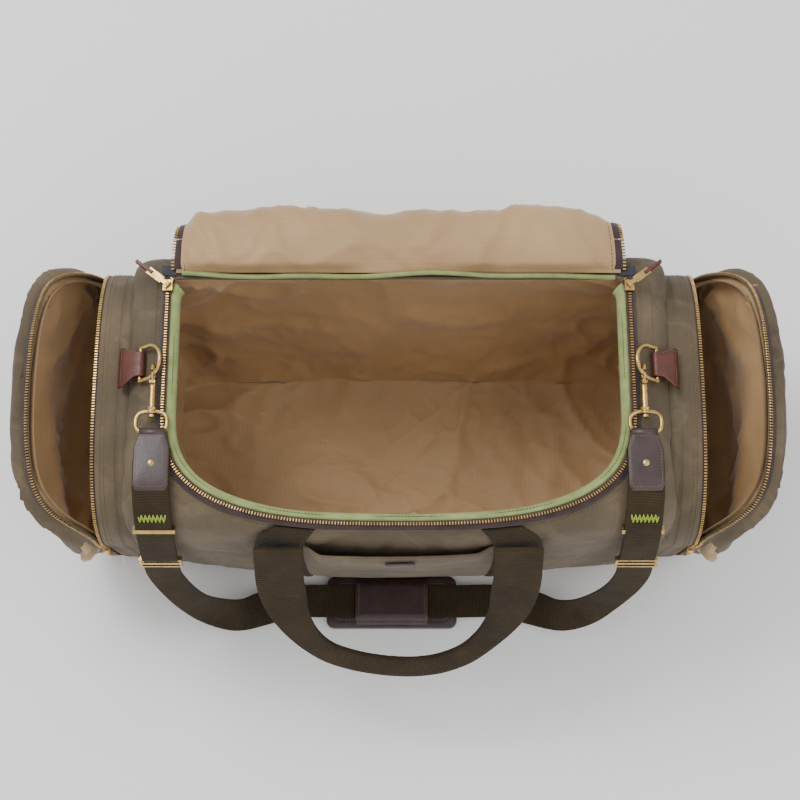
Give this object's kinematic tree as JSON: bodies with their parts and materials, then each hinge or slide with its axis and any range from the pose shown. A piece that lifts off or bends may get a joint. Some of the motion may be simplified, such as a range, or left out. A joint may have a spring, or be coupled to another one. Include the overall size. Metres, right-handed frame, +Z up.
{
  "type": "duffel bag",
  "caption": "Open waxed-canvas duffel bag with a folded-back zip lid, open end pockets, webbing handles and a padded shoulder strap",
  "frame": {"origin": "middle of the bag's footprint box on the ground", "axes": "+X along the bag's length to its right end, -Y to the handle and strap side shown, +Z up"},
  "size_m": [0.8006, 0.4674, 0.3029],
  "materials": {
    "canvas": "waxed cotton canvas, matte with creases",
    "lining": "smooth tan nylon",
    "binding": "pale green woven binding tape",
    "zip_tape": "dark plum zip tape",
    "brass": "aged brass, lightly brushed",
    "leather": "oiled red-brown leather",
    "tab_leather": "dark plum-brown leather, stitched edges",
    "webbing": "coarse olive-brown cotton webbing",
    "slate": "dark slate zip end tab",
    "board": "stiff fibre base board"
  },
  "bodies": {
    "root": {"front_panel": "canvas", "back_panel": "canvas", "bottom_panel": "canvas", "left_end_wall": "canvas", "right_end_wall": "canvas", "left_shoulder": "canvas", "right_shoulder": "canvas", "left_gusset": "canvas", "right_gusset": "canvas", "slip_pocket": "canvas", "cabin_lining": "lining", "left_pocket_lining": "lining", "right_pocket_lining": "lining", "mouth_binding": "binding", "mouth_tape": "zip_tape", "mouth_teeth": "brass", "pocket_zips": "brass", "dring_anchors": "leather", "handle_bands": "webbing", "zip_end_tabs": "slate", "base_board": "board"},
    "lid_rear": {"lid_rear": "canvas", "lid_rear_lining": "lining", "lid_rear_zip": "brass"},
    "lid_front": {"lid_front": "canvas", "lid_front_lining": "lining", "lid_front_zip": "brass"},
    "strap": {"strap_webbing": "webbing", "strap_tabs": "tab_leather", "strap_rivets": "brass", "strap_rings": "brass", "strap_loops": "brass"},
    "pad": {"shoulder_pad": "leather", "pad_bridge": "tab_leather"},
    "front_handle": {"front_handle": "webbing"},
    "rear_handle": {"rear_handle": "webbing"},
    "left_cap": {"left_cap": "canvas", "left_cap_lining": "lining", "left_cap_zip": "brass"},
    "left_slider": {"left_slider": "brass"},
    "left_pull": {"left_pull": "brass", "left_lace": "leather"},
    "left_pocket_slider": {"left_pocket_slider": "brass"},
    "left_pocket_pull": {"left_pocket_pull": "brass"},
    "left_dring": {"left_dring": "brass"},
    "left_hook": {"left_hook": "brass"},
    "left_gate": {"left_gate": "brass"},
    "left_glide": {"left_glide": "brass"},
    "right_cap": {"right_cap": "canvas", "right_cap_lining": "lining", "right_cap_zip": "brass"},
    "right_slider": {"right_slider": "brass"},
    "right_pull": {"right_pull": "brass", "right_lace": "leather"},
    "right_pocket_slider": {"right_pocket_slider": "brass"},
    "right_pocket_pull": {"right_pocket_pull": "brass"},
    "right_dring": {"right_dring": "brass"},
    "right_hook": {"right_hook": "brass"},
    "right_gate": {"right_gate": "brass"},
    "right_glide": {"right_glide": "brass"}
  },
  "joints": [
    {"name": "lid_hinge", "type": "hinge", "parent": "root", "child": "lid_rear", "pos_m": [0, 0.15603, 0.287], "axis": [1, 0, 0], "range_deg": [0, 166]},
    {"name": "lid_fold", "type": "hinge", "parent": "lid_rear", "child": "lid_front", "pos_m": [0, 0.22351, 0.29743], "axis": [1, 0, 0], "range_deg": [0, 102]},
    {"name": "left_cap_hinge", "type": "hinge", "parent": "root", "child": "left_cap", "pos_m": [-0.3653, 0.04003, 0.11], "axis": [0, -1, 0], "range_deg": [-24, 35]},
    {"name": "left_slider_slide", "type": "slide", "parent": "root", "child": "left_slider", "axis": [0, 1, 0], "range_m": [-0.055, 0]},
    {"name": "left_pull_hinge", "type": "hinge", "parent": "left_slider", "child": "left_pull", "pos_m": [-0.2418, 0.14003, 0.294], "axis": [0.6157, 0.788, 0], "range_deg": [0, 88]},
    {"name": "left_pocket_slider_slide", "type": "slide", "parent": "root", "child": "left_pocket_slider", "axis": [0, -0.1835, 0.983], "range_m": [0, 0.024]},
    {"name": "left_pocket_pull_hinge", "type": "hinge", "parent": "left_pocket_slider", "child": "left_pocket_pull", "pos_m": [-0.3175, -0.10094, 0.12084], "axis": [-1, 0, 0], "range_deg": [0, 110]},
    {"name": "left_dring_hinge", "type": "hinge", "parent": "root", "child": "left_dring", "pos_m": [-0.268, 0.05553, 0.278], "axis": [0, -1, 0], "range_deg": [0, 2]},
    {"name": "left_hook_swivel", "type": "hinge", "parent": "strap", "child": "left_hook", "pos_m": [-0.252, 0.01203, 0.292], "axis": [0, 1, 0], "range_deg": [-10, 1]},
    {"name": "left_gate_hinge", "type": "hinge", "parent": "left_hook", "child": "left_gate", "pos_m": [-0.252, 0.02953, 0.2976], "axis": [-1, 0, 0], "range_deg": [0, 14], "stiffness_Nm_per_rad": 0.01, "springref_deg": -5.73},
    {"name": "left_glide_slide", "type": "slide", "parent": "strap", "child": "left_glide", "axis": [0, 0.169, 0.9856], "range_m": [-0.012, 0.012]},
    {"name": "right_cap_hinge", "type": "hinge", "parent": "root", "child": "right_cap", "pos_m": [0.3653, 0.04003, 0.11], "axis": [0, 1, 0], "range_deg": [-24, 35]},
    {"name": "right_slider_slide", "type": "slide", "parent": "root", "child": "right_slider", "axis": [0, 1, 0], "range_m": [-0.055, 0]},
    {"name": "right_pull_hinge", "type": "hinge", "parent": "right_slider", "child": "right_pull", "pos_m": [0.2418, 0.14003, 0.294], "axis": [0.6157, -0.788, 0], "range_deg": [0, 88]},
    {"name": "right_pocket_slider_slide", "type": "slide", "parent": "root", "child": "right_pocket_slider", "axis": [0, -0.1835, 0.983], "range_m": [0, 0.024]},
    {"name": "right_pocket_pull_hinge", "type": "hinge", "parent": "right_pocket_slider", "child": "right_pocket_pull", "pos_m": [0.3175, -0.10094, 0.12084], "axis": [-1, 0, 0], "range_deg": [0, 110]},
    {"name": "right_dring_hinge", "type": "hinge", "parent": "root", "child": "right_dring", "pos_m": [0.268, 0.05553, 0.278], "axis": [0, 1, 0], "range_deg": [0, 2]},
    {"name": "right_hook_swivel", "type": "hinge", "parent": "strap", "child": "right_hook", "pos_m": [0.252, 0.01203, 0.292], "axis": [0, 1, 0], "range_deg": [-1, 10]},
    {"name": "right_gate_hinge", "type": "hinge", "parent": "right_hook", "child": "right_gate", "pos_m": [0.252, 0.02953, 0.2976], "axis": [-1, 0, 0], "range_deg": [0, 14], "stiffness_Nm_per_rad": 0.01, "springref_deg": -5.73},
    {"name": "right_glide_slide", "type": "slide", "parent": "strap", "child": "right_glide", "axis": [0, 0.169, 0.9856], "range_m": [-0.012, 0.012]},
    {"name": "strap_swing", "type": "hinge", "parent": "root", "child": "strap", "pos_m": [0, 0.04053, 0.2914], "axis": [-1, 0, 0], "range_deg": [0, 12]},
    {"name": "pad_slide", "type": "slide", "parent": "strap", "child": "pad", "axis": [1, 0, 0], "range_m": [-0.015, 0.015]},
    {"name": "front_handle_hinge", "type": "hinge", "parent": "root", "child": "front_handle", "pos_m": [0, -0.13997, 0.262], "axis": [-1, 0, 0], "range_deg": [0, 150]},
    {"name": "rear_handle_hinge", "type": "hinge", "parent": "root", "child": "rear_handle", "pos_m": [0, 0.19903, 0.262], "axis": [1, 0, 0], "range_deg": [0, 4]}
  ],
  "couplings": [
    {"joint": "lid_fold", "follows": "lid_hinge", "ratio": 0.61445}
  ]
}
